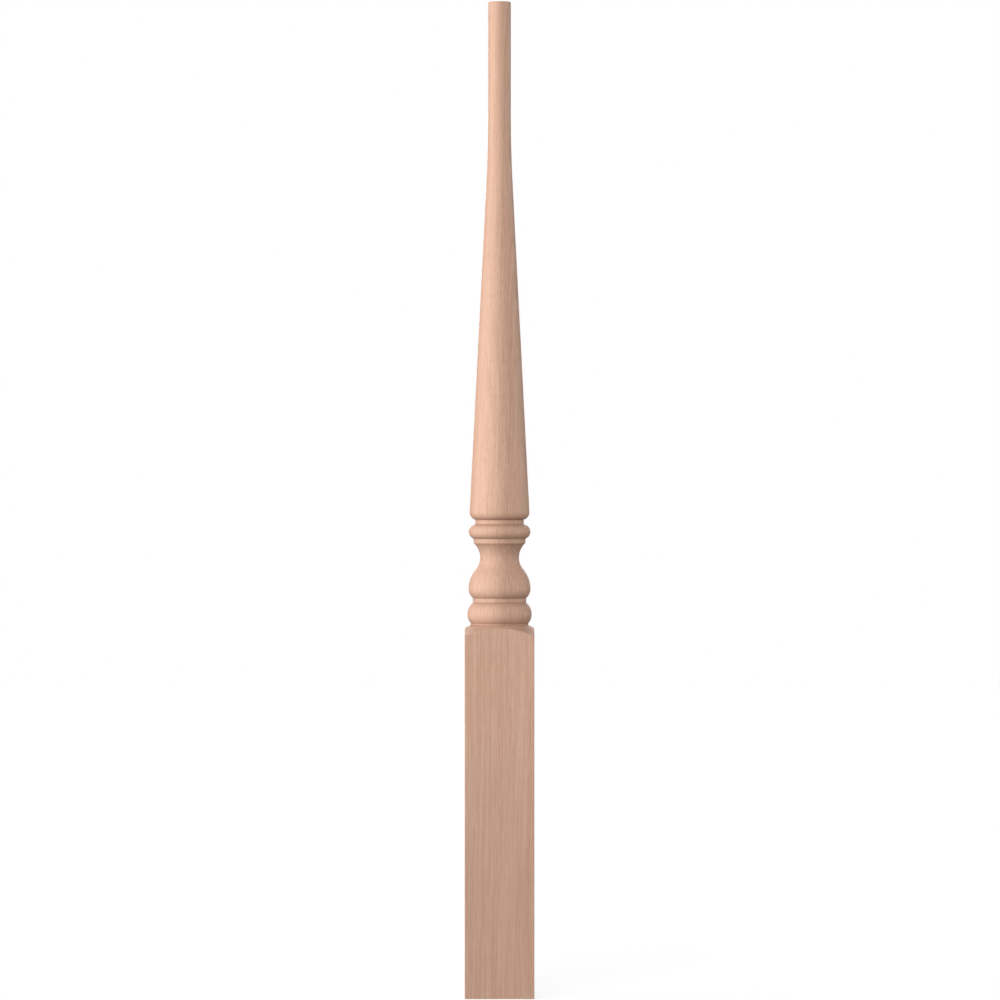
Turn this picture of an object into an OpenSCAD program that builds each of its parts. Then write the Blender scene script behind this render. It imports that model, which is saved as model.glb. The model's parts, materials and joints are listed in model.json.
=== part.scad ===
// Newel post, turned from one square length of hardwood.
// A plain square block stands on the floor. Above its sloping shoulder come a bead, a vase with a
// waisted neck, a smaller bead and a long taper, which ends in a straight pin for the handrail.
// All sizes are millimetres. The origin is the middle of the underside and +Z is up.

/* [Post] */
// Overall height, from the underside to the top of the pin
post_h = 1092.2; // [1050:0.1:1250]
// Colour of the bare wood
wood_colour = "#CBA690"; // [#CBA690:Bare, #B98A5E:Oiled, #6E4630:Brown stain]

/* [Square block] */
// Width across two opposite faces
block_w = 76.2; // [72:0.1:90]
// Height at which the turned shoulder reaches its fillet
block_h = 407.7; // [250:0.1:450]
// Radius of the eased upright edges
block_edge_r = 0.7; // [0.5:0.1:5]
// Slope of the turned shoulder, in degrees above level
shoulder_slope = 26; // [10:1:40]

/* [Lower bead] */
// Radius of the fillet that stands on the shoulder
shoulder_fillet_r = 31.6; // [28:0.1:34]
// Height of that fillet
shoulder_fillet_h = 1.5; // [0.5:0.1:10]
// Radius of the bead at its widest
lower_bead_r = 35.4; // [34.5:0.1:36]
// Radius of the arc that rounds the bead
lower_bead_arc = 16; // [12:0.1:18]

/* [Vase] */
// Radius of the fillet under the vase
vase_fillet_r = 29.4; // [28:0.1:32]
// Height of that fillet
vase_fillet_h = 5.2; // [1:0.1:12]
// Radius of the vase at its widest
vase_r = 34.1; // [33:0.1:36]
// Radius of the arc under the widest place
vase_foot_arc = 13; // [10:0.1:16]
// Radius of the arc over the widest place
vase_shoulder_arc = 33.6; // [28:0.1:40]

/* [Neck] */
// Radius of the neck at its narrowest
neck_r = 21.4; // [18:0.1:24]
// Radius of the hollow that runs down into the vase
neck_arc = 18.6; // [14:0.1:24]
// Radius of the cove that runs up to the collar
cove_arc = 22.3; // [14:0.1:28]
// Radius at which the cove meets the underside of the collar
cove_top_r = 27.8; // [26:0.1:28.2]

/* [Upper bead] */
// Radius of the collar at its bottom edge
collar_bottom_r = 28.3; // [28:0.1:31]
// Radius of the collar at its top edge
collar_top_r = 28.8; // [27.8:0.1:31]
// Height of the collar
collar_h = 5.6; // [1:0.1:12]
// Radius of the bead at its widest
upper_bead_r = 34; // [32:0.1:34.5]
// Radius of the arc that rounds the bead
upper_bead_arc = 7.9; // [7.4:0.1:9]

/* [Taper] */
// Radius of the fillet under the taper
taper_fillet_r = 26.7; // [26.2:0.1:29]
// Height of that fillet
taper_fillet_h = 5.3; // [1:0.1:12]
// Radius of the taper at its widest
taper_foot_r = 32.95; // [31:0.05:35]
// Radius of the arc that rounds the foot of the taper
taper_foot_arc = 8.9; // [8:0.1:12]
// Height from the widest place to where the taper's side would meet the pin's
taper_h = 399.4; // [300:0.1:430]

/* [Pin] */
// Radius of the straight pin, a slip fit in a 25.4 mm bore
pin_r = 12.5; // [10:0.1:15]
// Radius of the long curve that eases the taper into the pin
pin_blend_arc = 1500; // [300:10:2000]

/* [Hidden] */
$fn = 180;

// Straight steps in each arc of an outline drawn point by point
arc_steps = 14;
// Length by which a bead's arc runs on inside a fillet beside it, and the fillet inside the bead
lap = 0.3;
// Distance that the block's outline stays outside the corners of the blank
corner_margin = 2;
// Length of the blank that is turned away above the pin
blank_waste = 5;

// Height over which an arc falls by depth from its widest place.
function arc_reach(arc, depth) = sqrt(arc * arc - (arc - depth) * (arc - depth));

// Points along an arc, from one angle to another, counted anticlockwise from straight out.
function arc_points(centre, arc, start, end) =
    [for (i = [0:arc_steps])
        let (a = start + (end - start) * i / arc_steps)
        centre + arc * [cos(a), sin(a)]];

// Heights of the mouldings, counted up from the underside.
lower_bead_bottom = block_h + shoulder_fillet_h;
lower_bead_mid = lower_bead_bottom + arc_reach(lower_bead_arc, lower_bead_r - shoulder_fillet_r);
lower_bead_top = lower_bead_mid + arc_reach(lower_bead_arc, lower_bead_r - vase_fillet_r);
vase_bottom = lower_bead_top + vase_fillet_h;
vase_mid = vase_bottom + arc_reach(vase_foot_arc, vase_r - vase_fillet_r);

// The vase's shoulder arc and the neck's hollow touch on the line between their centres.
vase_shoulder_centre_r = vase_r - vase_shoulder_arc;
neck_centre_r = neck_r + neck_arc;
ogee_radii = vase_shoulder_arc + neck_arc;
ogee_angle = acos((neck_centre_r - vase_shoulder_centre_r) / ogee_radii);
neck_z = vase_mid + ogee_radii * sin(ogee_angle);

collar_bottom = neck_z + arc_reach(cove_arc, cove_top_r - neck_r);
upper_bead_bottom = collar_bottom + collar_h;
upper_bead_mid = upper_bead_bottom + arc_reach(upper_bead_arc, upper_bead_r - collar_top_r);
upper_bead_top = upper_bead_mid + arc_reach(upper_bead_arc, upper_bead_r - taper_fillet_r);
taper_bottom = upper_bead_top + taper_fillet_h;
taper_z = taper_bottom + arc_reach(taper_foot_arc, taper_foot_r - taper_fillet_r);

// The long curve meets the pin's side at pin_z, and touches both it and the taper's side.
taper_angle = atan((taper_foot_r - pin_r) / taper_h);
pin_z = taper_z + taper_h + pin_blend_arc * tan(taper_angle / 2);

// Half-outline from the axis out to a side that runs from r0 at height z0 to r1 at height z1.
module outline_step(z0, z1, r0, r1) {
    polygon([[0, z0], [r0, z0], [r1, z1], [0, z1]]);
}

// Half-outline of a fillet, a short straight band that laps into the round shapes beside it.
module outline_fillet(z0, z1, r) {
    outline_step(z0 - lap, z1 + lap, r, r);
}

// Half-outline between z0 and z1 whose side is a round arc, widest at radius r and height mid.
module outline_round(z0, z1, mid, r, arc) {
    intersection() {
        translate([r - arc, mid]) circle(arc);
        outline_step(z0, z1, r, r);
    }
    outline_step(z0, z1, r - arc, r - arc);
}

// Half-outline of a bead between the fillets that end at z0 and start at z1.
module outline_bead(z0, z1, mid, r, arc) {
    outline_round(z0 - lap, z1 + lap, mid, r, arc);
}

// Half-outline between z0 and z1 whose side is a hollow arc, narrowest at radius r and height mid.
module outline_hollow(z0, z1, mid, r, arc) {
    difference() {
        outline_step(z0, z1, r + arc / 2, r + arc / 2);
        translate([r + arc, mid]) circle(arc);
    }
}

// Block, left square where the cutter clears its corners, and its sloping shoulder.
module block_outline() {
    corner_r = block_w / sqrt(2) + corner_margin;
    corner_z = block_h - (corner_r - shoulder_fillet_r) * tan(shoulder_slope);
    outline_step(0, corner_z, corner_r, corner_r);
    outline_step(corner_z, block_h, corner_r, shoulder_fillet_r);
}

// Lower bead on its thin fillet, and the fillet over it.
module lower_bead_outline() {
    outline_fillet(block_h, lower_bead_bottom, shoulder_fillet_r);
    outline_bead(lower_bead_bottom, lower_bead_top, lower_bead_mid, lower_bead_r, lower_bead_arc);
    outline_fillet(lower_bead_top, vase_bottom, vase_fillet_r);
}

// Vase on its rounded foot, drawn in to its neck, and the cove that runs up to the collar.
module vase_outline() {
    outline_round(vase_bottom - lap, vase_mid, vase_mid, vase_r, vase_foot_arc);
    polygon(concat(
        [[0, vase_mid]],
        arc_points([vase_shoulder_centre_r, vase_mid], vase_shoulder_arc, 0, ogee_angle),
        arc_points([neck_centre_r, neck_z], neck_arc, 180 + ogee_angle, 180),
        [[0, neck_z]]
    ));
    outline_hollow(neck_z, collar_bottom, neck_z, neck_r, cove_arc);
}

// Collar, upper bead and the fillet over it.
module upper_bead_outline() {
    outline_step(collar_bottom, upper_bead_bottom + lap, collar_bottom_r, collar_top_r);
    outline_bead(upper_bead_bottom, upper_bead_top, upper_bead_mid, upper_bead_r, upper_bead_arc);
    outline_fillet(upper_bead_top, taper_bottom, taper_fillet_r);
}

// Long taper on its rounded foot, eased by a long hollow curve into the straight pin.
module taper_outline() {
    outline_round(taper_bottom - lap, taper_z, taper_z, taper_foot_r, taper_foot_arc);
    polygon(concat(
        [[0, taper_z], [taper_foot_r, taper_z]],
        arc_points([pin_r + pin_blend_arc, pin_z], pin_blend_arc, 180 + taper_angle, 180),
        [[pin_r, post_h], [0, post_h]]
    ));
}

// Plan of the square blank with its edges eased.
module blank_plan() {
    flat_w = block_w - 2 * block_edge_r;
    square([block_w, flat_w], center = true);
    square([flat_w, block_w], center = true);
    for (x = [-1, 1], y = [-1, 1])
        translate([x, y] * flat_w / 2) circle(block_edge_r);
}

// The square blank turned down to the outline. The cone of the shoulder leaves a low arch in the
// top of each face of the block.
module newel_post() {
    color(wood_colour)
        intersection() {
            linear_extrude(post_h + blank_waste) blank_plan();
            rotate_extrude() {
                block_outline();
                lower_bead_outline();
                vase_outline();
                upper_bead_outline();
                taper_outline();
            }
        }
}

newel_post();
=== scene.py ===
"""A newel post turned from one square length of hardwood, dressed as bare sanded wood.

The post is one piece. A square block stands on the floor, and above its sloping shoulder come the
lower bead, the vase with its waisted neck, the collar with the upper bead, the long taper and the
straight pin. Lengths are metres, heights are counted up from the underside, angles are radians and
the post's axis is the Z axis.
"""

import json
import logging
import math
from dataclasses import dataclass, field
from enum import Enum
from typing import Any

import bpy
import numpy as np
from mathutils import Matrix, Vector

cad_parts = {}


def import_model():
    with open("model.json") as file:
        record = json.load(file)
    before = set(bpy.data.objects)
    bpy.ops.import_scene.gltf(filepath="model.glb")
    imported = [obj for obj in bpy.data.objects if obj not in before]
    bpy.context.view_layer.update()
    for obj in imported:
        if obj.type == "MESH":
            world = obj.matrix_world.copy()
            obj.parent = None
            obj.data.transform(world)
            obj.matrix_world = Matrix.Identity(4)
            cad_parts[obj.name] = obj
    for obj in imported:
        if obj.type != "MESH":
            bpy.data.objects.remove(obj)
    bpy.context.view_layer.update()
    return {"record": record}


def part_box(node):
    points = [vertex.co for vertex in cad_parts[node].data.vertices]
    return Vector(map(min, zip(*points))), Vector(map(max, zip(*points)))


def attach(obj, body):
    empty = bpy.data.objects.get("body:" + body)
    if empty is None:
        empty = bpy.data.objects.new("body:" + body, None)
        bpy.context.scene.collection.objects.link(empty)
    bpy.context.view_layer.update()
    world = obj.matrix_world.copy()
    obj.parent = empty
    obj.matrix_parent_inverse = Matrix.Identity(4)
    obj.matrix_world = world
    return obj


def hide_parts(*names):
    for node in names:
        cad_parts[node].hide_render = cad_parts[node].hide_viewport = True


LOG = logging.getLogger("newel_post")
MM = 0.001
NODE = "newel_post"
BODY = "root"

Colour = tuple[float, float, float]


# ---- Outline of the turning ----


class Corner(Enum):
    """How sandpaper has left a corner of the outline."""

    ARRIS = "proud"
    QUIRK = "sunk"

    @property
    def ease(self) -> float:
        """Length of outline, on each side of the corner, that is rounded."""
        return {Corner.ARRIS: 0.45 * MM, Corner.QUIRK: 0.2 * MM}[self]

    @property
    def reach(self) -> float:
        """Distance over which the corner's mark spreads beside it, which on a quirk is the spread of the
        painted shadow.
        """
        return {Corner.ARRIS: 0.9 * MM, Corner.QUIRK: 0.8 * MM}[self]


class Mark(Enum):
    """What the mesh tells the finish about each point of the wood, by name."""

    ARRIS = "arris"
    # QUIRK also places the painted shadow in the quirks, and the mark after it places the painted shade
    # beside the corners and under the collar.
    QUIRK = "quirk"
    PAINTED_SHADE = "painted_shade"
    PLANED = "planed"


@dataclass
class DrawnCorner:
    """A corner of an outline.

    Attributes:
        point: Index of the point that is the corner.
        kind: How sandpaper has left it.
        shade_depth: How deep the painted shade over it is, or under it when this is negative.
        reach: Distance over which the painted shade spreads.
        place: Distance of the corner along the outline, once the outline is whole.
    """

    point: int
    kind: Corner
    shade_depth: float
    reach: float
    place: float = 0.0


@dataclass
class Outline:
    """Half-outline of a turning, drawn upwards as points of radius and height.

    Attributes:
        points: Radius and height of each point.
        corners: Corners drawn so far.
        longest: Longest straight step between two points.
        sharpest: Largest turn between two steps of an arc.
        ease_steps: Steps in each rounded corner.
        fillet_shade: Depth of the painted shade on the far side of a shaded corner, such as the fillet
            beside a quirk.
        cleared: Span beside a corner that is drawn afresh, in lengths of its ease.
        guard: Place of the point that keeps an eased corner tight, in lengths of its ease.
        guards: Places of the points that carry a corner's mark, in lengths of its reach.
        apart: Least distance of those points from another corner, in lengths of its ease.
    """

    points: list[tuple[float, float]] = field(default_factory=list)
    corners: list[DrawnCorner] = field(default_factory=list)
    longest: float = 9.0 * MM
    sharpest: float = math.radians(5.5)
    ease_steps: int = 4
    fillet_shade: float = 0.25
    cleared: float = 2.6
    guard: float = 1.9
    guards: tuple[float, ...] = (0.7, 1.3, 2.2)
    apart: float = 1.8

    def corner(self, kind: Corner, shade_depth: float = 0.0, reach: float = 5.0 * MM) -> None:
        """Marks the last point as a corner.

        Args:
            kind: How sandpaper has left it.
            shade_depth: How deep the painted shade over it is, or under it when this is negative.
            reach: Distance over which the painted shade spreads.
        """
        self.corners.append(DrawnCorner(len(self.points) - 1, kind, shade_depth, reach))

    def line_to(self, radius: float, height: float) -> None:
        """Draws a straight stretch from the last point.

        Args:
            radius: Radius of the far end.
            height: Height of the far end.
        """
        if not self.points:
            self.points.append((radius, height))
            return
        near = np.array(self.points[-1])
        far = np.array((radius, height))
        steps = max(1, math.ceil(np.linalg.norm(far - near) / self.longest))
        for step in range(1, steps + 1):
            point = near + (far - near) * step / steps
            self.points.append((float(point[0]), float(point[1])))

    def arc(self, centre: tuple[float, float], radius: float, start: float, end: float) -> None:
        """Draws a round stretch from the last point, which stands for the arc's first.

        Args:
            centre: Radius and height of the arc's centre.
            radius: Radius of the arc itself.
            start: First angle, anticlockwise from straight out.
            end: Last angle.
        """
        turn = abs(end - start)
        steps = max(2, math.ceil(turn / self.sharpest), math.ceil(turn * radius / self.longest))
        for step in range(1, steps + 1):
            angle = start + (end - start) * step / steps
            reach = centre[0] + radius * math.cos(angle)
            self.points.append((reach, centre[1] + radius * math.sin(angle)))

    def eased(self) -> tuple[np.ndarray, dict[Mark, np.ndarray]]:
        """Rounds the corners.

        Returns:
            The points and their marks.
        """
        points = np.array(self.points)
        along = np.concatenate([[0.0], np.cumsum(np.linalg.norm(np.diff(points, axis=0), axis=1))])

        def at(places: np.ndarray) -> np.ndarray:
            """Points of the outline at these distances along it."""
            return np.stack([np.interp(places, along, points[:, axis]) for axis in (0, 1)], 1)

        clear = np.ones(len(along), bool)
        for corner in self.corners:
            corner.place = along[corner.point]
            clear &= np.abs(along - corner.place) > self.cleared * corner.kind.ease
        stretches = [(along[clear], points[clear])]
        t = np.linspace(0, 1, self.ease_steps + 1)[:, None]
        for corner in self.corners:
            place, ease = corner.place, corner.kind.ease
            first, tip, last = at(np.array([place - ease, place, place + ease]))
            curve = (1 - t) ** 2 * first + 2 * t * (1 - t) * tip + t ** 2 * last
            stretches.append((place + ease * np.linspace(-1, 1, self.ease_steps + 1), curve))
            away = np.array([self.guard * ease, *(corner.kind.reach * np.array(self.guards))])
            guards = place + np.concatenate([-away[::-1], away])
            for other in self.corners:
                guards = guards[np.abs(guards - other.place) > self.apart * other.kind.ease]
            stretches.append((guards, at(guards)))
        places = np.concatenate([span for span, _ in stretches])
        order = np.argsort(places)
        places = places[order]
        drawn = np.concatenate([curve for _, curve in stretches])[order]
        marks = {
            mark: nearness(places, [c.place for c in self.corners if c.kind is kind], kind.reach)
            for mark, kind in ((Mark.ARRIS, Corner.ARRIS), (Mark.QUIRK, Corner.QUIRK))
        }
        marks[Mark.PAINTED_SHADE] = self._painted_shade(places)
        return drawn, marks

    def _painted_shade(self, places: np.ndarray) -> np.ndarray:
        """Painted shade at each place along the outline, which darkens the wood beside the shaded corners.

        Args:
            places: Distances along the outline.

        Returns:
            0 on plain wood, and up to 1 beside a quirk.
        """
        painted_shade = np.zeros(len(places))
        for corner in self.corners:
            if corner.shade_depth:
                away = (places - corner.place) * math.copysign(1.0, corner.shade_depth)
                most = np.where(away > 0, abs(corner.shade_depth), self.fillet_shade)
                painted_shade = np.maximum(painted_shade, most * np.exp(-((away / corner.reach) ** 2)))
        return painted_shade


def nearness(places: np.ndarray, marks: list[float], reach: float) -> np.ndarray:
    """How near each place on a line is to the nearest mark.

    Args:
        places: Distances along the line.
        marks: Distances of the marks along the same line.
        reach: Distance at which nearness has fallen to about a third.

    Returns:
        1 at a mark, and falling to 0 away from it.
    """
    near = np.zeros(len(places))
    for mark in marks:
        near = np.maximum(near, np.exp(-(((places - mark) / reach) ** 2)))
    return near


# ---- Sub-assemblies ----


@dataclass
class Band:
    """A stretch of the post's surface as rows of points, one point to a column.

    Attributes:
        radius: Distance of each point from the axis, one row of the array to a ring.
        azimuth: Direction of each point from the axis.
        height: Height of each point.
        marks: Marks of its points, 0 where it has none.
    """

    radius: np.ndarray
    azimuth: np.ndarray
    height: np.ndarray
    marks: dict[Mark, np.ndarray | float] = field(default_factory=dict)

    def marked(self, mark: Mark) -> np.ndarray:
        """One of the marks at each point."""
        return np.broadcast_to(self.marks.get(mark, 0.0), self.radius.shape)


@dataclass
class SquareBlock:
    """The square foot of the post, with its sloping shoulder.

    Attributes:
        width: Width across two opposite faces.
        top: Height at which the shoulder reaches the first fillet.
        edge_radius: Radius of the eased upright edges.
        slope: Slope of the shoulder above level.
        fillet_radius: Radius at which the shoulder ends.
        lip: Width of the ring at the shoulder's top that belongs to the turned outline.
        edge_steps: Steps round each eased edge.
        face_steps: Steps across each flat face.
        wall_steps: Steps up each face.
        shoulder_steps: Steps up the shoulder.
        foot_rings: Rings of the underside.
        ease_steps: Steps in each rounded arris.
    """

    width: float
    top: float = 407.7 * MM
    edge_radius: float = 0.7 * MM
    slope: float = math.radians(26)
    fillet_radius: float = 31.6 * MM
    lip: float = 1.6 * MM
    edge_steps: int = 8
    face_steps: int = 32
    wall_steps: int = 34
    shoulder_steps: int = 8
    foot_rings: int = 6
    ease_steps: int = 4

    def columns(self) -> tuple[np.ndarray, np.ndarray, np.ndarray, np.ndarray]:
        """Lays the columns of points round the block.

        Returns:
            Radius and azimuth of each column on the block, its azimuth on the turned length, and
            how near it is to an eased edge.
        """
        half = self.width / 2
        flat = half - self.edge_radius
        guard = 0.5 * MM
        inner = np.linspace(-flat + 2 * guard, flat - 2 * guard, self.face_steps - 1)
        face = np.concatenate([[-flat, -flat + guard], inner, [flat - guard, flat]])
        turn = np.linspace(0, math.pi / 2, self.edge_steps + 1)[1:-1]
        across = np.concatenate([face, flat + self.edge_radius * np.sin(turn)])
        out = np.concatenate([np.full(len(face), half), flat + self.edge_radius * np.cos(turn)])
        near_face = nearness(face, [-flat, flat], Corner.ARRIS.reach)
        near = np.concatenate([near_face, np.ones(len(turn))])
        count = len(across)
        even = (np.arange(count) - (len(face) - 1) / 2) * (math.pi / 2) / count
        quarters = np.repeat(np.arange(4) * math.pi / 2, count)
        azimuth = np.tile(np.arctan2(across, out), 4) + quarters
        turned = np.tile(even, 4) + quarters
        return np.tile(np.hypot(across, out), 4), azimuth, turned, np.tile(near, 4)

    def foot(self) -> Band:
        """Underside, from its middle out to just inside its edge.

        Returns:
            The rings of the underside.
        """
        reach, azimuth, _, _ = self.columns()
        edge = reach - Corner.ARRIS.ease - self.lip
        shares = np.linspace(0, 1, self.foot_rings + 1)[1:, None]
        shape = np.ones((len(shares), 1))
        return Band(
            radius=edge * shares,
            azimuth=azimuth * shape,
            height=np.zeros((len(shares), len(edge))),
            marks={Mark.PLANED: 1.0},
        )

    def wall(self) -> Band:
        """Faces of the block, from the underside's rim up to the top of the shoulder.

        Returns:
            The rings, whose azimuths turn evenly round once the shoulder is reached.
        """
        reach, azimuth, turned, edge_near = self.columns()
        ease = Corner.ARRIS.ease
        arch = self.top - (reach - self.fillet_radius) * math.tan(self.slope)
        run = np.array((-math.cos(self.slope), math.sin(self.slope)))
        rows = []

        def add(radius: np.ndarray, height: np.ndarray, blend: float, proud: float) -> None:
            """Adds one ring.

            Args:
                radius: Distance of each point from the axis.
                height: Height of each point.
                blend: How far its azimuths have gone from the block's to the turning's.
                proud: How much of an arris the whole ring is.
            """
            around = azimuth + (turned - azimuth) * blend
            shown = np.maximum(edge_near * (1 - blend) ** 2, proud)
            rows.append((radius, around, height + 0 * reach, shown))

        rim = reach - ease
        add(rim - 0.9 * ease, np.zeros(len(reach)), 0, 0.4)
        for t in np.linspace(0, 1, self.ease_steps + 1):
            add(rim + ease * (1 - (1 - t) ** 2), ease * t ** 2, 0, 1)
        bottom = 2 * ease
        upper = arch - 2 * ease
        for t in np.linspace(0, 1, self.wall_steps + 1):
            add(reach, bottom + (upper - bottom) * t, 0, 0.3 if t in (0.0, 1.0) else 0)
        for t in np.linspace(0, 1, self.ease_steps + 1):
            radius = reach + run[0] * ease * t ** 2
            height = arch - ease * (1 - t) ** 2 + run[1] * ease * t ** 2
            add(radius, height, 0, 1)
        start = reach + run[0] * ease
        end = self.fillet_radius + self.lip
        for step, t in enumerate(np.linspace(0, 1, self.shoulder_steps + 1)[:-1]):
            share = t if step else 0.3 / self.shoulder_steps
            radius = start + (end - start) * share
            height = self.top - (radius - self.fillet_radius) * math.tan(self.slope)
            add(radius, height, share, 0.25 if step == 0 else 0)
        radius, around, height, proud = (np.array(part) for part in zip(*rows))
        planed = (height < arch - 0.5 * ease).astype(float)
        return Band(radius, around, height, {Mark.ARRIS: proud, Mark.PLANED: planed})

    def draw(self, outline: Outline) -> None:
        """Draws the last ring of the shoulder, which runs into the first fillet.

        Args:
            outline: Outline to draw on.
        """
        fall = self.lip * math.tan(self.slope)
        outline.line_to(self.fillet_radius + self.lip, self.top - fall)
        outline.line_to(self.fillet_radius, self.top)
        # Painted shade on the shoulder under this quirk, and lighter painted shade on the fillet over it.
        outline.corner(Corner.QUIRK, shade_depth=-0.4)


def arc_angle(arc: float, depth: float) -> float:
    """Angle that an arc turns through as its side falls in by depth from its widest place."""
    return math.acos((arc - depth) / arc)


@dataclass
class Bead:
    """A round moulding between two fillets.

    Attributes:
        radius: Radius of the bead at its widest.
        arc: Radius of the arc that rounds it.
        under_radius: Radius of the fillet or collar under it.
        over_radius: Radius of the fillet over it.
        over_height: Height of the fillet over it.
        shade_depth: How deep the painted shade is on its underside and on its top, beside the quirks.
    """

    radius: float
    arc: float
    under_radius: float
    over_radius: float
    over_height: float
    shade_depth: tuple[float, float]

    def draw(self, outline: Outline) -> None:
        """Draws the bead from the last point, and the fillet over it.

        Args:
            outline: Outline to draw on.
        """
        # Painted shade on the bead's underside and top beside its two quirks, and lighter painted shade on
        # the fillets beside them.
        outline.corner(Corner.QUIRK, shade_depth=self.shade_depth[0])
        lower = arc_angle(self.arc, self.radius - self.under_radius)
        upper = arc_angle(self.arc, self.radius - self.over_radius)
        middle = outline.points[-1][1] + self.arc * math.sin(lower)
        outline.arc((self.radius - self.arc, middle), self.arc, -lower, upper)
        outline.corner(Corner.QUIRK, shade_depth=-self.shade_depth[1])
        outline.line_to(self.over_radius, outline.points[-1][1] + self.over_height)


@dataclass
class Vase:
    """The vase, drawn in to its neck, and the cove that runs up to the collar.

    Attributes:
        radius: Radius of the vase at its widest.
        foot_arc: Radius of the arc under the widest place.
        shoulder_arc: Radius of the arc over the widest place.
        fillet_radius: Radius of the fillet under the vase.
        neck_radius: Radius of the neck at its narrowest.
        neck_arc: Radius of the hollow that runs down into the vase.
        cove_arc: Radius of the cove over the neck.
        cove_top: Radius at which the cove meets the underside of the collar.
    """

    radius: float = 34.1 * MM
    foot_arc: float = 13.0 * MM
    shoulder_arc: float = 33.6 * MM
    fillet_radius: float = 29.4 * MM
    neck_radius: float = 21.4 * MM
    neck_arc: float = 18.6 * MM
    cove_arc: float = 22.3 * MM
    cove_top: float = 27.8 * MM

    def draw(self, outline: Outline) -> None:
        """Draws the vase and its neck from the last point.

        Args:
            outline: Outline to draw on.
        """
        # Painted shade on the vase's foot over this quirk, and lighter painted shade on the fillet under
        # it.
        outline.corner(Corner.QUIRK, shade_depth=0.5)
        lower = arc_angle(self.foot_arc, self.radius - self.fillet_radius)
        middle = outline.points[-1][1] + self.foot_arc * math.sin(lower)
        outline.arc((self.radius - self.foot_arc, middle), self.foot_arc, -lower, 0)
        shoulder_centre = self.radius - self.shoulder_arc
        neck_centre = self.neck_radius + self.neck_arc
        both = self.shoulder_arc + self.neck_arc
        ogee = math.acos((neck_centre - shoulder_centre) / both)
        neck_height = middle + both * math.sin(ogee)
        outline.arc((shoulder_centre, middle), self.shoulder_arc, 0, ogee)
        outline.arc((neck_centre, neck_height), self.neck_arc, math.pi + ogee, math.pi)
        rise = arc_angle(self.cove_arc, self.cove_top - self.neck_radius)
        cove_centre = (self.neck_radius + self.cove_arc, neck_height)
        outline.arc(cove_centre, self.cove_arc, math.pi, math.pi - rise)


@dataclass
class Collar:
    """The flared band over the cove.

    Attributes:
        bottom_radius: Radius at its bottom edge.
        top_radius: Radius at its top edge.
        height: Height of the band.
    """

    bottom_radius: float = 28.3 * MM
    top_radius: float = 28.8 * MM
    height: float = 5.6 * MM

    def draw(self, outline: Outline) -> None:
        """Draws the band's proud bottom edge and its side.

        Args:
            outline: Outline to draw on.
        """
        bottom = outline.points[-1][1]
        outline.line_to(self.bottom_radius, bottom)
        # Painted shade on the cove and the neck under the collar's bottom edge, and lighter painted shade
        # on the band over it.
        outline.corner(Corner.ARRIS, shade_depth=-0.6, reach=19 * MM)
        outline.line_to(self.top_radius, bottom + self.height)


@dataclass
class Taper:
    """The long taper on its rounded foot, eased into the straight pin.

    Attributes:
        pin_radius: Radius of the pin.
        top: Height of the pin's top.
        fillet_radius: Radius of the fillet under the taper.
        foot_radius: Radius of the taper at its widest.
        foot_arc: Radius of the arc that rounds the foot.
        height: Height from the widest place to where the taper's side would meet the pin's.
        blend_arc: Radius of the long curve into the pin.
        rim: Width of the ring at the pin's top that belongs to the outline.
    """

    pin_radius: float
    top: float
    fillet_radius: float = 26.7 * MM
    foot_radius: float = 32.95 * MM
    foot_arc: float = 8.9 * MM
    height: float = 399.4 * MM
    blend_arc: float = 1500.0 * MM
    rim: float = 1.6 * MM

    def draw(self, outline: Outline) -> None:
        """Draws the taper and the pin from the last point.

        Args:
            outline: Outline to draw on.
        """
        # Painted shade on the taper's foot over this quirk, and lighter painted shade on the fillet under
        # it.
        outline.corner(Corner.QUIRK, shade_depth=0.5)
        lower = arc_angle(self.foot_arc, self.foot_radius - self.fillet_radius)
        foot = outline.points[-1][1] + self.foot_arc * math.sin(lower)
        outline.arc((self.foot_radius - self.foot_arc, foot), self.foot_arc, -lower, 0)
        lean = math.atan((self.foot_radius - self.pin_radius) / self.height)
        pin_height = foot + self.height + self.blend_arc * math.tan(lean / 2)
        centre = (self.pin_radius + self.blend_arc, pin_height)
        blend_start = centre[0] - self.blend_arc * math.cos(lean)
        outline.line_to(blend_start, pin_height - self.blend_arc * math.sin(lean))
        outline.arc(centre, self.blend_arc, math.pi + lean, math.pi)
        outline.line_to(self.pin_radius, self.top)
        outline.corner(Corner.ARRIS)
        outline.line_to(self.pin_radius - self.rim, self.top)


# ---- Shader nodes ----


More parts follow.
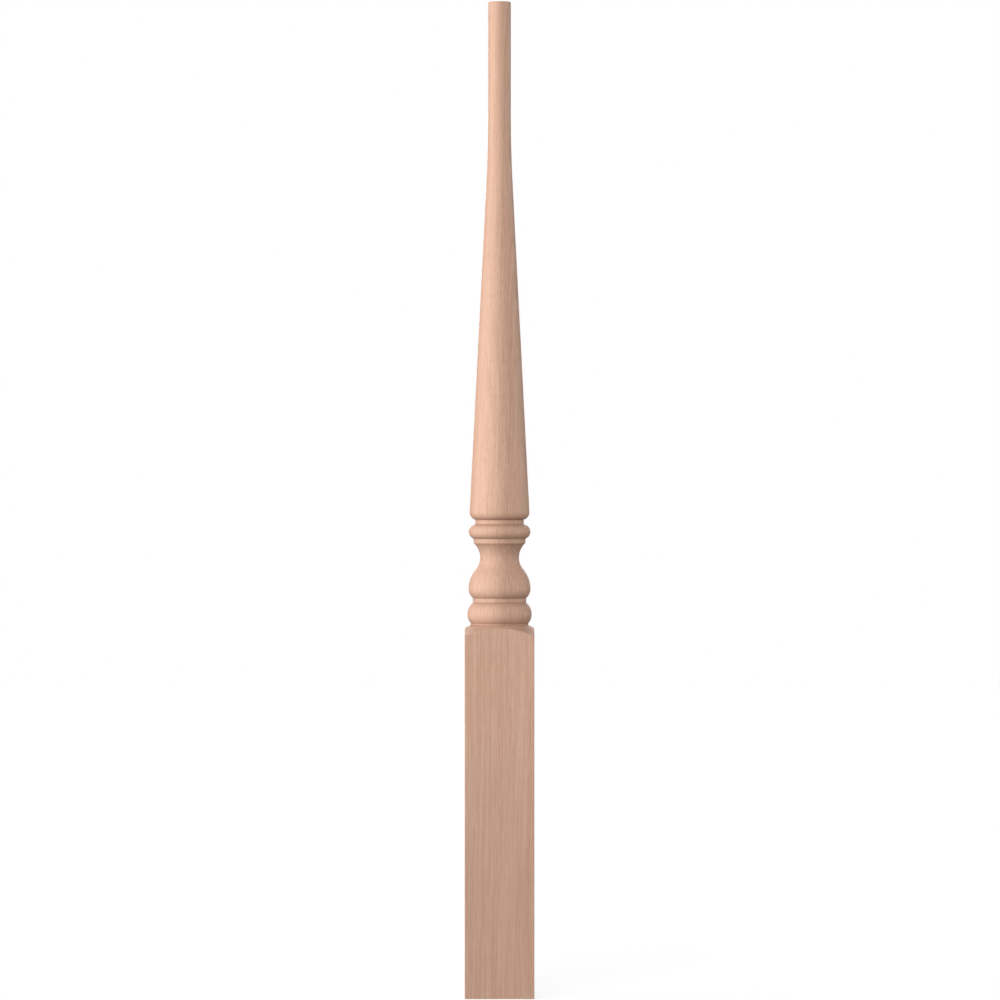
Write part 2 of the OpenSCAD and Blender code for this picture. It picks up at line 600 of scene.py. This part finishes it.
class Nodes:
    """Adds nodes to one node tree, from left to right."""

    def __init__(self, tree: bpy.types.NodeTree) -> None:
        """Empties the tree.

        Args:
            tree: Node tree of a material or a world.
        """
        self.tree = tree
        tree.nodes.clear()

    def node(
        self,
        kind: str,
        settings: dict[str, Any] | None = None,
        inputs: dict[str | int, Any] | None = None,
    ) -> bpy.types.Node:
        """Adds one node.

        Args:
            kind: Type of the node, as Blender names it.
            settings: Properties to set first.
            inputs: A value, a socket or a Value for each socket, by its name or index.

        Returns:
            The node.
        """
        node = self.tree.nodes.new(kind)
        for name, value in (settings or {}).items():
            setattr(node, name, value)
        for name, value in (inputs or {}).items():
            socket = value.socket if isinstance(value, Value) else value
            if isinstance(socket, bpy.types.NodeSocket):
                self.tree.links.new(socket, node.inputs[name])
            elif value is not None:
                node.inputs[name].default_value = value
        return node

    def value(
        self,
        kind: str,
        settings: dict[str, Any],
        inputs: dict[str | int, Any],
        out: str | int = 0,
    ) -> "Value":
        """Adds one node and wraps one of its outputs."""
        return Value(self, self.node(kind, settings, inputs).outputs[out])

    def vector(self, operation: str, first: Any, second: Any = None, scale: float | None = None) -> Any:
        """Adds a Vector Math node.

        Args:
            operation: What it does.
            first: First vector.
            second: Second vector, where there is one.
            scale: Number that scales the first vector, where there is one.

        Returns:
            The socket that holds the vector.
        """
        given = {0: first, 1: second, "Scale": scale}
        return self.node("ShaderNodeVectorMath", {"operation": operation}, given).outputs[0]

    def mix(self, factor: Any, first: Any, second: Any, blend: str = "MIX") -> Any:
        """Adds a Mix node for colours.

        Args:
            factor: How much of the second colour shows.
            first: First colour.
            second: Second colour.
            blend: How they are mixed.

        Returns:
            The socket that holds the colour.
        """
        colours = [(*c, 1.0) if isinstance(c, tuple) and len(c) == 3 else c for c in (first, second)]
        settings = {"data_type": "RGBA", "blend_type": blend}
        return self.node("ShaderNodeMix", settings, {0: factor, 6: colours[0], 7: colours[1]}).outputs[2]


class Value:
    """A number that changes over a surface, wrapped so that sums on it read as sums."""

    def __init__(self, nodes: Nodes, socket: bpy.types.NodeSocket) -> None:
        """Wraps a socket.

        Args:
            nodes: Nodes that the socket is among.
            socket: Output socket that holds the number.
        """
        self.nodes = nodes
        self.socket = socket

    def _math(self, operation: str, *given: Any) -> "Value":
        """Adds a Math node.

        Args:
            operation: What it does.
            given: Its inputs, in order.

        Returns:
            Its result.
        """
        return self.nodes.value("ShaderNodeMath", {"operation": operation}, dict(enumerate(given)))

    def __add__(self, other: Any) -> "Value":
        """Sum."""
        return self._math("ADD", self, other)

    def __radd__(self, other: Any) -> "Value":
        """Sum, reflected."""
        return self._math("ADD", other, self)

    def __sub__(self, other: Any) -> "Value":
        """Difference."""
        return self._math("SUBTRACT", self, other)

    def __rsub__(self, other: Any) -> "Value":
        """Difference, reflected."""
        return self._math("SUBTRACT", other, self)

    def __mul__(self, other: Any) -> "Value":
        """Product."""
        return self._math("MULTIPLY", self, other)

    def __rmul__(self, other: Any) -> "Value":
        """Product, reflected."""
        return self._math("MULTIPLY", other, self)

    def __truediv__(self, other: Any) -> "Value":
        """Quotient."""
        return self._math("DIVIDE", self, other)

    def __rtruediv__(self, other: Any) -> "Value":
        """Quotient, reflected."""
        return self._math("DIVIDE", other, self)

    def root(self) -> "Value":
        """Square root."""
        return self._math("SQRT", self)

    def part(self) -> "Value":
        """What is left after the whole number under it is taken away."""
        return self._math("FRACT", self)

    def whole(self) -> "Value":
        """Whole number under it."""
        return self._math("FLOOR", self)

    def angle_over(self, other: "Value") -> "Value":
        """Angle of the direction whose rise is this and whose run is the other."""
        return self._math("ARCTAN2", self, other)

    def step(self, low: float, high: float) -> "Value":
        """Smooth step.

        Args:
            low: Where it leaves 0, or 1 if low is above high.
            high: Where it reaches the other end.

        Returns:
            A number from 0 to 1.
        """
        ends = (0.0, 1.0)
        if low > high:
            low, high, ends = high, low, (1.0, 0.0)
        given = {0: self, 1: low, 2: high, 3: ends[0], 4: ends[1]}
        return self.nodes.value("ShaderNodeMapRange", {"interpolation_type": "SMOOTHSTEP"}, given)


# ---- Finish ----


@dataclass(frozen=True)
class BareHardwood:
    """Bare sanded hardwood: growth rings about a pith outside the blank, fibre, pores and rays.

    The pattern is solid, so streaks on a side run on into the end grain. Its lengths are
    millimetres, because a shader's numbers are easier to read that way.

    Attributes:
        tan: Colour of the paler, yellower fibre.
        pink: Colour of the redder fibre.
        deep: Colour of the darkest fibre and of the open wood that starts each ring.
        pore: Colour of the open pores.
        ray: Colour of the rays.
        quirk_shadow: Colour of the painted shadow in the quirks.
        pith: Where the pith's axis crosses the level of the underside.
        pith_lean: How far the pith moves across for each unit of height.
        ring: Width of a growth ring.
        foot: Height up to which painted shade darkens the wood towards the bottom.
        painted_shade_and_tone: Shade lost to the painted shade beside the corners, on planed faces, where
            the wood is cut across, and to the painted shade towards the bottom.
        showing: How strongly rays, pores and the painted shadow in the quirks show.
    """

    tan: Colour = (0.642, 0.410, 0.297)
    pink: Colour = (0.628, 0.383, 0.281)
    deep: Colour = (0.500, 0.284, 0.188)
    pore: Colour = (0.300, 0.160, 0.105)
    ray: Colour = (0.500, 0.290, 0.205)
    quirk_shadow: Colour = (0.330, 0.185, 0.125)
    pith: tuple[float, float] = (118.0, -96.0)
    pith_lean: tuple[float, float] = (0.010, 0.006)
    ring: float = 2.4
    foot: float = 390.0
    painted_shade_and_tone: tuple[float, float, float, float] = (0.28, 0.07, 0.15, 0.15)
    showing: tuple[float, float, float] = (0.22, 0.35, 0.70)

    def dress(self, name: str) -> bpy.types.Material:
        """Makes the material.

        Args:
            name: Name of the material.

        Returns:
            The material.
        """
        material = bpy.data.materials.new(name)
        material.use_nodes = True
        nodes = Nodes(material.node_tree)
        place = nodes.node("ShaderNodeTexCoord").outputs["Object"]
        place = nodes.vector("SCALE", place, scale=1.0 / MM)
        grain = self._bent(nodes, place)
        rings = self._rings(nodes, grain)
        fibre = self._noise(nodes, grain, (0.30, 0.30, 0.0045), detail=2.0)
        fine = self._noise(nodes, grain, (1.7, 1.7, 0.028), detail=2.0, shift=3.0)
        pores = self._pores(nodes, grain, rings["early"])
        rays = self._rays(nodes, rings)
        tone = self._noise(nodes, place, (0.014, 0.014, 0.006), detail=1.0)
        end = self._end_grain(nodes)
        quirk, arris, painted_shade, planed = (
            self._mark(nodes, mark) for mark in (Mark.QUIRK, Mark.ARRIS, Mark.PAINTED_SHADE, Mark.PLANED)
        )

        streak = (fibre - 0.5) * 1.6 + (tone - 0.5) * 1.2 + 0.5
        colour = nodes.mix(streak.step(0.05, 0.95), self.tan, self.pink)
        depth = ((fine - 0.5) * 1.25 + (fibre - 0.5) * 0.9) * (1.0 + planed * 0.25)
        depth = depth + 0.18 + rings["early"] * 0.34 + (rings["own"] - 0.5) * 0.18
        colour = nodes.mix(depth, colour, self.deep)
        # Painted shade beside the corners and towards the bottom. The planed faces and the end grain keep
        # the wood's own tone.
        painted_shade_loss, on_flats, on_ends, foot_shade_loss = self.painted_shade_and_tone
        # Painted shade: the wood is darker towards the bottom.
        low = rings["up"].step(self.foot, 0.0)
        shade = 1.0 + (tone - 0.5) * 0.10 - painted_shade * painted_shade_loss - planed * on_flats
        shade = shade * (1.0 - end * on_ends) * (1.0 - low * foot_shade_loss)
        colour = nodes.mix(1.0, colour, self._grey(nodes, shade), "MULTIPLY")
        # Rays and pores are the wood's own. The quirk mark lays a painted shadow into the quirks.
        for mask, share, tint in zip((rays, pores, quirk), self.showing, (self.ray, self.pore, self.quirk_shadow)):
            colour = nodes.mix(mask * share, colour, tint)

        rough = 0.60 + (fine - 0.5) * 0.16 + pores * 0.15 + end * 0.12 - rays * 0.10 - arris * 0.05
        relief = (fine - 0.5) * 0.35 + (fibre - 0.5) * 0.35 - pores * 0.9 - rings["early"] * 0.12
        bump = nodes.node(
            "ShaderNodeBump", {}, {"Strength": 0.35, "Distance": 0.09 * MM, "Height": relief}
        )
        shader = nodes.node(
            "ShaderNodeBsdfPrincipled",
            {},
            {
                "Base Color": colour,
                "Roughness": rough,
                "Normal": bump.outputs[0],
                "Specular IOR Level": 0.30,
            },
        )
        nodes.node("ShaderNodeOutputMaterial", {}, {"Surface": shader.outputs[0]})
        return material

    @staticmethod
    def _noise(nodes: Nodes, place: Any, scale: Colour, detail: float, shift: float = 0.0) -> Value:
        """Soft noise, stretched by giving each direction its own scale.

        Args:
            nodes: Nodes to add to.
            place: Place in millimetres.
            scale: Waves in a millimetre, in each direction.
            detail: Octaves of finer noise on top.
            shift: Number that sets this noise apart from others.

        Returns:
            The noise, about 0.5.
        """
        spread = nodes.vector("MULTIPLY", place, scale)
        spread = nodes.vector("ADD", spread, (shift, 2 * shift, 3 * shift))
        given = {"Vector": spread, "Scale": 1.0, "Detail": detail, "Roughness": 0.55}
        return nodes.value("ShaderNodeTexNoise", {}, given, "Fac")

    @staticmethod
    def _grey(nodes: Nodes, value: Value) -> Any:
        """Colour whose three parts are one number."""
        parts = {"Red": value, "Green": value, "Blue": value}
        return nodes.node("ShaderNodeCombineColor", {}, parts).outputs[0]

    @staticmethod
    def _mark(nodes: Nodes, mark: Mark) -> Value:
        """One of the marks that the mesh holds."""
        settings = {"attribute_type": "GEOMETRY", "attribute_name": mark.value}
        return nodes.value("ShaderNodeAttribute", settings, {}, "Fac")

    @staticmethod
    def _end_grain(nodes: Nodes) -> Value:
        """How squarely the surface cuts across the fibres.

        Args:
            nodes: Nodes to add to.

        Returns:
            0 on a side, and 1 on an end.
        """
        normal = nodes.node("ShaderNodeTexCoord").outputs["Normal"]
        up = nodes.value("ShaderNodeSeparateXYZ", {}, {0: normal}, "Z")
        return (up * up).step(0.72, 0.99)

    def _bent(self, nodes: Nodes, place: Any) -> Any:
        """Place in millimetres, pushed aside so that the grain wanders as it rises.

        Args:
            nodes: Nodes to add to.
            place: Place in millimetres.

        Returns:
            The socket of the place in the straight tree.
        """
        for scale, reach in (((0.011, 0.011, 0.0024), 9.0), ((0.05, 0.05, 0.017), 1.1)):
            spread = nodes.vector("MULTIPLY", place, scale)
            given = {"Vector": spread, "Scale": 1.0, "Detail": 1.0}
            push = nodes.node("ShaderNodeTexNoise", {}, given).outputs["Color"]
            push = nodes.vector("SUBTRACT", push, (0.5, 0.5, 0.5))
            push = nodes.vector("MULTIPLY", push, (2 * reach, 2 * reach, 0.0))
            place = nodes.vector("ADD", place, push)
        return place

    def _rings(self, nodes: Nodes, grain: Any) -> dict[str, Value]:
        """Growth rings about the pith.

        Args:
            nodes: Nodes to add to.
            grain: Place in the straight tree.

        Returns:
            "early", which is 1 where a ring starts, "own", a number of each ring's own, and the
            place round the pith as "out", "round" and "up".
        """
        parts = nodes.node("ShaderNodeSeparateXYZ", {}, {0: grain})
        x, y, z = (Value(nodes, socket) for socket in parts.outputs)
        x = x - z * self.pith_lean[0] - self.pith[0]
        y = y - z * self.pith_lean[1] - self.pith[1]
        out = (x * x + y * y).root()
        turns = out / self.ring
        uneven = nodes.value(
            "ShaderNodeTexNoise", {"noise_dimensions": "1D"}, {"W": turns * 0.37, "Detail": 1.0}
        )
        turns = turns + uneven * 2.2
        into = turns.part()
        early = into.step(0.0, 0.12) * into.step(0.55, 0.12)
        own = nodes.value("ShaderNodeTexWhiteNoise", {"noise_dimensions": "1D"}, {"W": turns.whole()})
        arc = y.angle_over(x) * math.hypot(*self.pith)
        return {"early": early, "own": own, "out": out, "round": arc, "up": z}

    def _pores(self, nodes: Nodes, grain: Any, early: Value) -> Value:
        """Open pores, cut along their length on the sides, and crowded where a ring starts.

        Args:
            nodes: Nodes to add to.
            grain: Place in the straight tree.
            early: Where rings start.

        Returns:
            1 in a pore.
        """
        long = self._noise(nodes, grain, (2.8, 2.8, 0.055), detail=1.0, shift=11.0)
        return (long + early * 0.09).step(0.62, 0.74)

    def _rays(self, nodes: Nodes, rings: dict[str, Value]) -> Value:
        """Rays, thin sheets that run out from the pith.

        Args:
            nodes: Nodes to add to.
            rings: Place round the pith.

        Returns:
            1 in a ray.
        """
        parts = {0: rings["round"] / 0.55, 1: rings["out"] / 26.0, 2: rings["up"] / 7.0}
        place = nodes.node("ShaderNodeCombineXYZ", {}, parts).outputs[0]
        return self._noise(nodes, place, (1.0, 1.0, 1.0), detail=0.0, shift=5.0).step(0.62, 0.74)


# ---- The post ----


@dataclass
class NewelPost:
    """The whole post as one closed mesh.

    Attributes:
        block: Square foot and its shoulder.
        shoulder_fillet: Height of the thin fillet on the shoulder.
        lower_bead: Bead over the shoulder.
        vase: Vase and its neck.
        collar: Band over the neck.
        upper_bead: Bead over the collar.
        taper: Taper and pin.
        finish: Finish of the wood.
        strip_height: Share of the baked map's height that the sides take.
        map_margin: Space left round each part of the baked map.
        moulded: Span of the mouldings, from the block's top.
        moulded_share: How many times its own length the moulded span takes on the map.
        crown_rings: Rings of the pin's top.
    """

    block: SquareBlock
    lower_bead: Bead
    vase: Vase
    collar: Collar
    upper_bead: Bead
    taper: Taper
    finish: BareHardwood
    shoulder_fillet: float = 1.5 * MM
    strip_height: float = 0.90
    map_margin: float = 0.006
    moulded: tuple[float, float] = (-12.0 * MM, 135.0 * MM)
    moulded_share: float = 2.5
    crown_rings: int = 3

    def turned(self, azimuth: np.ndarray) -> Band:
        """Turned length, from the shoulder's last ring to just inside the pin's top edge.

        Args:
            azimuth: Azimuth of each column.

        Returns:
            The rings.
        """
        outline = Outline()
        self.block.draw(outline)
        outline.line_to(self.block.fillet_radius, self.block.top + self.shoulder_fillet)
        self.lower_bead.draw(outline)
        self.vase.draw(outline)
        self.collar.draw(outline)
        self.upper_bead.draw(outline)
        self.taper.draw(outline)
        points, marks = outline.eased()
        flat = np.ones((1, len(azimuth)))
        return Band(
            radius=points[:, :1] * flat,
            azimuth=np.ones((len(points), 1)) * azimuth,
            height=points[:, 1:] * flat,
            marks={mark: shown[:, None] for mark, shown in marks.items()},
        )

    def crown(self, azimuth: np.ndarray) -> Band:
        """Top of the pin, from just inside its edge to near its middle.

        Args:
            azimuth: Azimuth of each column.

        Returns:
            The rings.
        """
        edge = self.taper.pin_radius - self.taper.rim
        shares = np.linspace(1, 0, self.crown_rings + 2)[1:-1, None]
        flat = np.ones((len(shares), len(azimuth)))
        return Band(
            radius=edge * shares * flat,
            azimuth=azimuth * flat,
            height=self.taper.top * flat,
        )

    def build(self) -> bpy.types.Object:
        """Builds the mesh.

        Returns:
            The piece, with its map and the marks that the finish reads.
        """
        _, azimuth, turned, _ = self.block.columns()
        bands = [self.block.foot(), self.block.wall(), self.turned(turned), self.crown(turned)]
        radius = np.concatenate([band.radius for band in bands])
        around = np.concatenate([band.azimuth for band in bands])
        height = np.concatenate([band.height for band in bands])
        rows, columns = radius.shape
        rings = np.stack([radius * np.cos(around), radius * np.sin(around), height], 2)
        ends = np.array([(0, 0, 0), (0, 0, self.taper.top)])
        places = np.concatenate([rings.reshape(-1, 3), ends])
        faces = self._faces(rows, columns)
        mesh = bpy.data.meshes.new(NODE)
        mesh.from_pydata(places.tolist(), [], faces)
        mesh.polygons.foreach_set("use_smooth", np.ones(len(faces), bool))
        for mark in Mark:
            shown = np.concatenate([band.marked(mark) for band in bands]).ravel()
            shown = np.concatenate([shown, [shown[0], shown[-1]]])
            layer = mesh.attributes.new(mark.value, "FLOAT", "POINT")
            layer.data.foreach_set("value", shown.astype(np.float32))
        self._lay_map(mesh, bands, faces)
        mesh.validate()
        piece = bpy.data.objects.new("turned_newel_post", mesh)
        bpy.context.scene.collection.objects.link(piece)
        return piece

    @staticmethod
    def _faces(rows: int, columns: int) -> list[tuple[int, ...]]:
        """Joins the rings into faces that point outwards.

        Args:
            rows: Number of rings, from the underside's middle to the pin's top.
            columns: Number of points in a ring.

        Returns:
            The corners of each face, ring by ring, and then the two end fans.
        """
        faces: list[tuple[int, ...]] = []
        for row in range(rows - 1):
            low, high = row * columns, (row + 1) * columns
            for column in range(columns):
                after = (column + 1) % columns
                faces.append((low + column, low + after, high + after, high + column))
        bottom, top = rows * columns, rows * columns + 1
        last = (rows - 1) * columns
        for column in range(columns):
            after = (column + 1) % columns
            faces.append((bottom, after, column))
        for column in range(columns):
            after = (column + 1) % columns
            faces.append((last + column, last + after, top))
        return faces

    def _lay_map(
        self, mesh: bpy.types.Mesh, bands: list[Band], faces: list[tuple[int, ...]]
    ) -> None:
        """Lays the sides out as one strip and the two ends above it.

        Args:
            mesh: Mesh to give the map to.
            bands: Bands of the surface, the underside first and the pin's top last.
            faces: Faces in the order that _faces gives.
        """
        places = np.array([vertex.co for vertex in mesh.vertices])
        columns = bands[0].radius.shape[1]
        foot_rows, crown_rows = len(bands[0].radius), len(bands[-1].radius)
        rows = sum(len(band.radius) for band in bands)
        rings = places[: rows * columns].reshape(rows, columns, 3)
        steps = np.linalg.norm(np.diff(rings, axis=0), axis=2).mean(1)
        middle = rings[:, :, 2].mean(1)
        over = middle - self.block.top
        moulded = (over > self.moulded[0]) & (over < self.moulded[1])
        steps = steps * np.where(moulded[1:], self.moulded_share, 1.0)
        first, last = foot_rows - 1, rows - crown_rows - 1
        along = np.concatenate([[0.0], np.cumsum(steps)])
        margin = self.map_margin
        share = (along - along[first]) / (along[last] - along[first])
        up = margin + share * (self.strip_height - 2 * margin)
        low = self.strip_height + margin
        span = 1 - margin - low

        def end(points: np.ndarray, reach: float, left: float) -> np.ndarray:
            """Lays points of an end flat in its own half of the top strip."""
            flat = points[:, :2] / (2 * reach) + 0.5
            return flat * (0.5 - 2 * margin, span) + (left + margin, low)

        corners = np.concatenate([np.array(face) for face in faces])
        counts = np.array([len(face) for face in faces])
        face_of = np.repeat(np.arange(len(faces)), counts)
        row_of = face_of // columns
        uv = np.zeros((len(corners), 2))
        quads = (rows - 1) * columns
        side = (row_of >= first) & (row_of < last) & (face_of < quads)
        turn = corners[side] % columns
        wraps = (face_of[side] % columns == columns - 1) & (turn == 0)
        uv[side, 0] = margin + (turn + columns * wraps) / columns * (1 - 2 * margin)
        uv[side, 1] = up[corners[side] // columns]
        under = (row_of < first) | ((face_of >= quads) & (face_of < quads + columns))
        uv[under] = end(places[corners[under]], self.block.width / 2, 0.0)
        crown = ~(side | under)
        uv[crown] = end(places[corners[crown]], self.taper.pin_radius, 0.5)
        layer = mesh.uv_layers.new(name="OFBake")
        layer.uv.foreach_set("vector", uv.astype(np.float32).ravel())

    def dress(self, piece: bpy.types.Object) -> None:
        """Gives the piece its finish and its body, and hides the solid that it stands for.

        Args:
            piece: Mesh that build made.
        """
        piece.data.materials.append(self.finish.dress("bare_sanded_hardwood"))
        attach(piece, BODY)
        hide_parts(NODE)


# ---- Studio ----


@dataclass(frozen=True)
class SoftLight:
    """A broad light, far enough away to be even from end to end of the post.

    Attributes:
        name: Name of the light.
        azimuth: Direction it comes from, in degrees to the right of the camera's side.
        elevation: Height that it comes from, in degrees above level.
        share: Brightness that it gives to a white surface facing it.
        spread: Width of the light as seen from the post, in degrees.
        stand_off: Distance at which its marker is hung, which doesn't change the light.
    """

    name: str
    azimuth: float
    elevation: float
    share: float
    spread: float
    stand_off: float = 3.0

    def hang(self) -> None:
        """Adds the light to the scene."""
        lamp = bpy.data.lights.new(self.name, "SUN")
        lamp.energy = math.pi * self.share
        lamp.angle = math.radians(self.spread)
        light = bpy.data.objects.new(self.name, lamp)
        turn, rise = math.radians(self.azimuth), math.radians(self.elevation)
        towards = Vector(
            (math.sin(turn) * math.cos(rise), -math.cos(turn) * math.cos(rise), math.sin(rise))
        )
        light.rotation_euler = towards.to_track_quat("Z", "Y").to_euler()
        light.location = towards * self.stand_off
        bpy.context.scene.collection.objects.link(light)


@dataclass
class Studio:
    """Pale floor and surroundings, soft lights and the camera.

    Attributes:
        low: Lowest corner of the object's box.
        high: Highest corner of the object's box.
        lights: Lights round the post.
        backdrop: Colour of the surroundings, as the camera sees them.
        ambient: Brightness of the light that comes evenly from all round.
        floor_radius: Radius of the floor.
        floor_sides: Sides of its outline.
        floor_gap: How far it lies under the post.
        floor_grey: How much of the floor's brightness a shadow can take away.
        distance: Distance of the camera from the post's axis.
        aside: How far the camera stands to the right of the post's axis.
        below_middle: How far the camera stands under the post's middle.
        lens: Focal length of the lens, in millimetres.
        film: Width of the film, in millimetres.
    """

    low: Vector
    high: Vector
    lights: tuple[SoftLight, ...]
    backdrop: Colour = (1.0, 1.0, 1.0)
    ambient: float = 0.05
    floor_radius: float = 9.0
    floor_sides: int = 96
    floor_gap: float = 0.3 * MM
    floor_grey: float = 0.25
    distance: float = 5.5
    aside: float = 0.5 * MM
    below_middle: float = 1.2 * MM
    lens: float = 180.1
    film: float = 36.0

    def surroundings(self) -> None:
        """Makes the even light that comes from all round, in front of a white backdrop."""
        world = bpy.data.worlds.new("studio")
        bpy.context.scene.world = world
        world.use_nodes = True
        nodes = Nodes(world.node_tree)
        even = {"Color": (1, 1, 1, 1), "Strength": self.ambient}
        lit = nodes.node("ShaderNodeBackground", {}, even)
        seen = nodes.node("ShaderNodeBackground", {}, {"Color": (*self.backdrop, 1), "Strength": 1.0})
        looked_at = nodes.node("ShaderNodeLightPath").outputs["Is Camera Ray"]
        both = nodes.node(
            "ShaderNodeMixShader", {}, {0: looked_at, 1: lit.outputs[0], 2: seen.outputs[0]}
        )
        nodes.node("ShaderNodeOutputWorld", {}, {"Surface": both.outputs[0]})

    def floor(self) -> None:
        """Makes the round floor, which shows from above only and leaves the light as it is."""
        count = self.floor_sides
        turns = np.arange(count) * 2 * math.pi / count
        under = self.low.z - self.floor_gap
        rim = [(self.floor_radius * math.cos(a), self.floor_radius * math.sin(a), under) for a in turns]
        mesh = bpy.data.meshes.new("floor")
        mesh.from_pydata(rim, [], [tuple(range(count))])
        floor = bpy.data.objects.new("floor", mesh)
        bpy.context.scene.collection.objects.link(floor)
        floor.visible_diffuse = False
        floor.visible_glossy = False
        floor.visible_transmission = False
        floor.visible_shadow = False
        mesh.materials.append(self._floor_paint())

    def _floor_paint(self) -> bpy.types.Material:
        """Makes the floor's paint, as white as the backdrop where no shadow falls.

        Returns:
            The material.
        """
        paint = bpy.data.materials.new("pale_floor")
        paint.use_nodes = True
        nodes = Nodes(paint.node_tree)
        falling = self.ambient + sum(
            light.share * math.sin(math.radians(max(0, light.elevation))) for light in self.lights
        )
        grey = (self.floor_grey,) * 3
        rest = tuple(c - g * falling for c, g in zip(self.backdrop, grey))
        matt = nodes.node("ShaderNodeBsdfDiffuse", {}, {"Color": (*grey, 1)})
        glow = nodes.node("ShaderNodeEmission", {}, {"Color": (*rest, 1), "Strength": 1.0})
        both = nodes.node("ShaderNodeAddShader", {}, {0: matt.outputs[0], 1: glow.outputs[0]})
        clear = nodes.node("ShaderNodeBsdfTransparent")
        behind = nodes.node("ShaderNodeNewGeometry").outputs["Backfacing"]
        shown = nodes.node(
            "ShaderNodeMixShader", {}, {0: behind, 1: both.outputs[0], 2: clear.outputs[0]}
        )
        nodes.node("ShaderNodeOutputMaterial", {}, {"Surface": shown.outputs[0]})
        return paint

    def camera(self) -> None:
        """Stands the camera level with the middle of the post, looking along +Y."""
        data = bpy.data.cameras.new("camera")
        data.sensor_width = self.film
        data.lens = self.lens
        data.clip_end = 4 * (self.distance + self.floor_radius)
        camera = bpy.data.objects.new("camera", data)
        middle = (self.low + self.high) / 2
        camera.location = (middle.x + self.aside, middle.y - self.distance, middle.z - self.below_middle)
        camera.rotation_euler = (math.pi / 2, 0, 0)
        bpy.context.scene.collection.objects.link(camera)
        bpy.context.scene.camera = camera

    def set_up(self) -> None:
        """Makes everything in the studio."""
        bpy.context.scene.view_settings.view_transform = "Standard"
        self.camera()
        self.surroundings()
        self.floor()
        for light in self.lights:
            light.hang()


# ---- Making ----


def pin_radius(record: dict[str, Any]) -> float:
    """Radius of the pin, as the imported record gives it."""
    pin = next(mount for mount in record["mounts"] if mount["name"] == "top_pin")
    return pin["dims"]["r_mm"] * MM


def main() -> None:
    """Builds the studio and the post."""
    logging.basicConfig(level=logging.INFO, format="%(name)s: %(message)s")
    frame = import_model()
    low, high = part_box(NODE)

    lights = (
        SoftLight("key", -80, 6, 0.85, 34),
        SoftLight("front_fill", -20, 10, 0.60, 34),
        SoftLight("high_front", -20, 42, 0.19, 34),
        SoftLight("right_fill", 55, 5, 0.16, 34),
        SoftLight("right_edge", 105, 6, 0.38, 34),
        SoftLight("back_fill", 180, 16, 0.78, 50),
        SoftLight("floor_bounce", 0, -75, 0.13, 60),
    )
    Studio(low, high, lights).set_up()
    LOG.info("studio with %d lights", len(lights))

    post = NewelPost(
        block=SquareBlock(width=high.x - low.x),
        # The last two numbers of each bead are the depths of its painted shade, on its underside and on
        # its top.
        lower_bead=Bead(35.4 * MM, 16.0 * MM, 31.6 * MM, 29.4 * MM, 5.2 * MM, (1.0, 0.7)),
        vase=Vase(),
        collar=Collar(),
        upper_bead=Bead(34.0 * MM, 7.9 * MM, 28.8 * MM, 26.7 * MM, 5.3 * MM, (0.4, 0.6)),
        taper=Taper(pin_radius=pin_radius(frame["record"]), top=high.z),
        finish=BareHardwood(),
    )
    piece = post.build()
    post.dress(piece)
    LOG.info("%s: %d faces", piece.name, len(piece.data.polygons))


if __name__ == "__main__":
    main()
